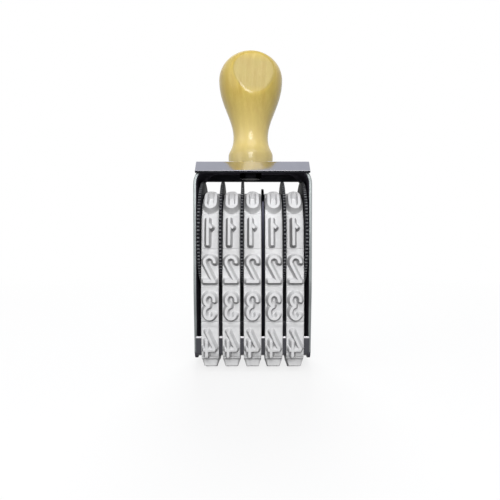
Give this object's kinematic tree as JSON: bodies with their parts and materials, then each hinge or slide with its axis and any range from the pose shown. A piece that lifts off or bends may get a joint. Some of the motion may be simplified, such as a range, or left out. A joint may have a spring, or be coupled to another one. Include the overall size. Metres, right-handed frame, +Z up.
{
  "type": "numbering stamp",
  "caption": "Hand numbering stamp: rubber number bands on knurled thumb wheels in a steel frame, with a turned wooden handle.",
  "frame": {"origin": "on the plane of the printing faces, below the middle of the frame: the bottom centre of the bounding box", "axes": "+Z up along the handle, +X to the right along the axle, the front with the thumb flat faces -Y"},
  "size_m": [0.0424, 0.038, 0.1136],
  "materials": {
    "handle_wood": "clear gloss varnish",
    "cover_chrome": "polished",
    "frame_steel": "bright plated sheet",
    "platen_steel": "plated, satin",
    "steel": "turned",
    "nut_steel": "plated",
    "wheel_plastic": "moulded",
    "disc_black": "black, knurled edge",
    "band_rubber": "matt white"
  },
  "bodies": {
    "stamp_body": {"handle": "handle_wood", "handle_stud": "steel", "handle_nut": "nut_steel", "cover_plate": "cover_chrome", "frame": "frame_steel", "axle": "steel", "axle_washers": "steel", "number_band_1": "band_rubber", "number_band_2": "band_rubber", "number_band_3": "band_rubber", "number_band_4": "band_rubber", "number_band_5": "band_rubber", "centre_partition": "frame_steel", "platen": "platen_steel", "platen_bar": "platen_steel"},
    "wheel_1": {"number_wheel_1": "wheel_plastic", "thumb_disc_1": "disc_black"},
    "wheel_2": {"number_wheel_2": "wheel_plastic", "thumb_disc_2": "disc_black"},
    "wheel_3": {"number_wheel_3": "wheel_plastic", "thumb_disc_3": "disc_black"},
    "wheel_4": {"number_wheel_4": "wheel_plastic", "thumb_disc_4": "disc_black"},
    "wheel_5": {"number_wheel_5": "wheel_plastic", "thumb_disc_5": "disc_black"}
  },
  "joints": [
    {"name": "wheel_1_turn", "type": "hinge", "parent": "stamp_body", "child": "wheel_1", "pos_m": [0, 0, 0.04656], "axis": [1, 0, 0], "continuous": true},
    {"name": "wheel_2_turn", "type": "hinge", "parent": "stamp_body", "child": "wheel_2", "pos_m": [0, 0, 0.04656], "axis": [1, 0, 0], "continuous": true},
    {"name": "wheel_3_turn", "type": "hinge", "parent": "stamp_body", "child": "wheel_3", "pos_m": [0, 0, 0.04656], "axis": [1, 0, 0], "continuous": true},
    {"name": "wheel_4_turn", "type": "hinge", "parent": "stamp_body", "child": "wheel_4", "pos_m": [0, 0, 0.04656], "axis": [1, 0, 0], "continuous": true},
    {"name": "wheel_5_turn", "type": "hinge", "parent": "stamp_body", "child": "wheel_5", "pos_m": [0, 0, 0.04656], "axis": [1, 0, 0], "continuous": true}
  ]
}
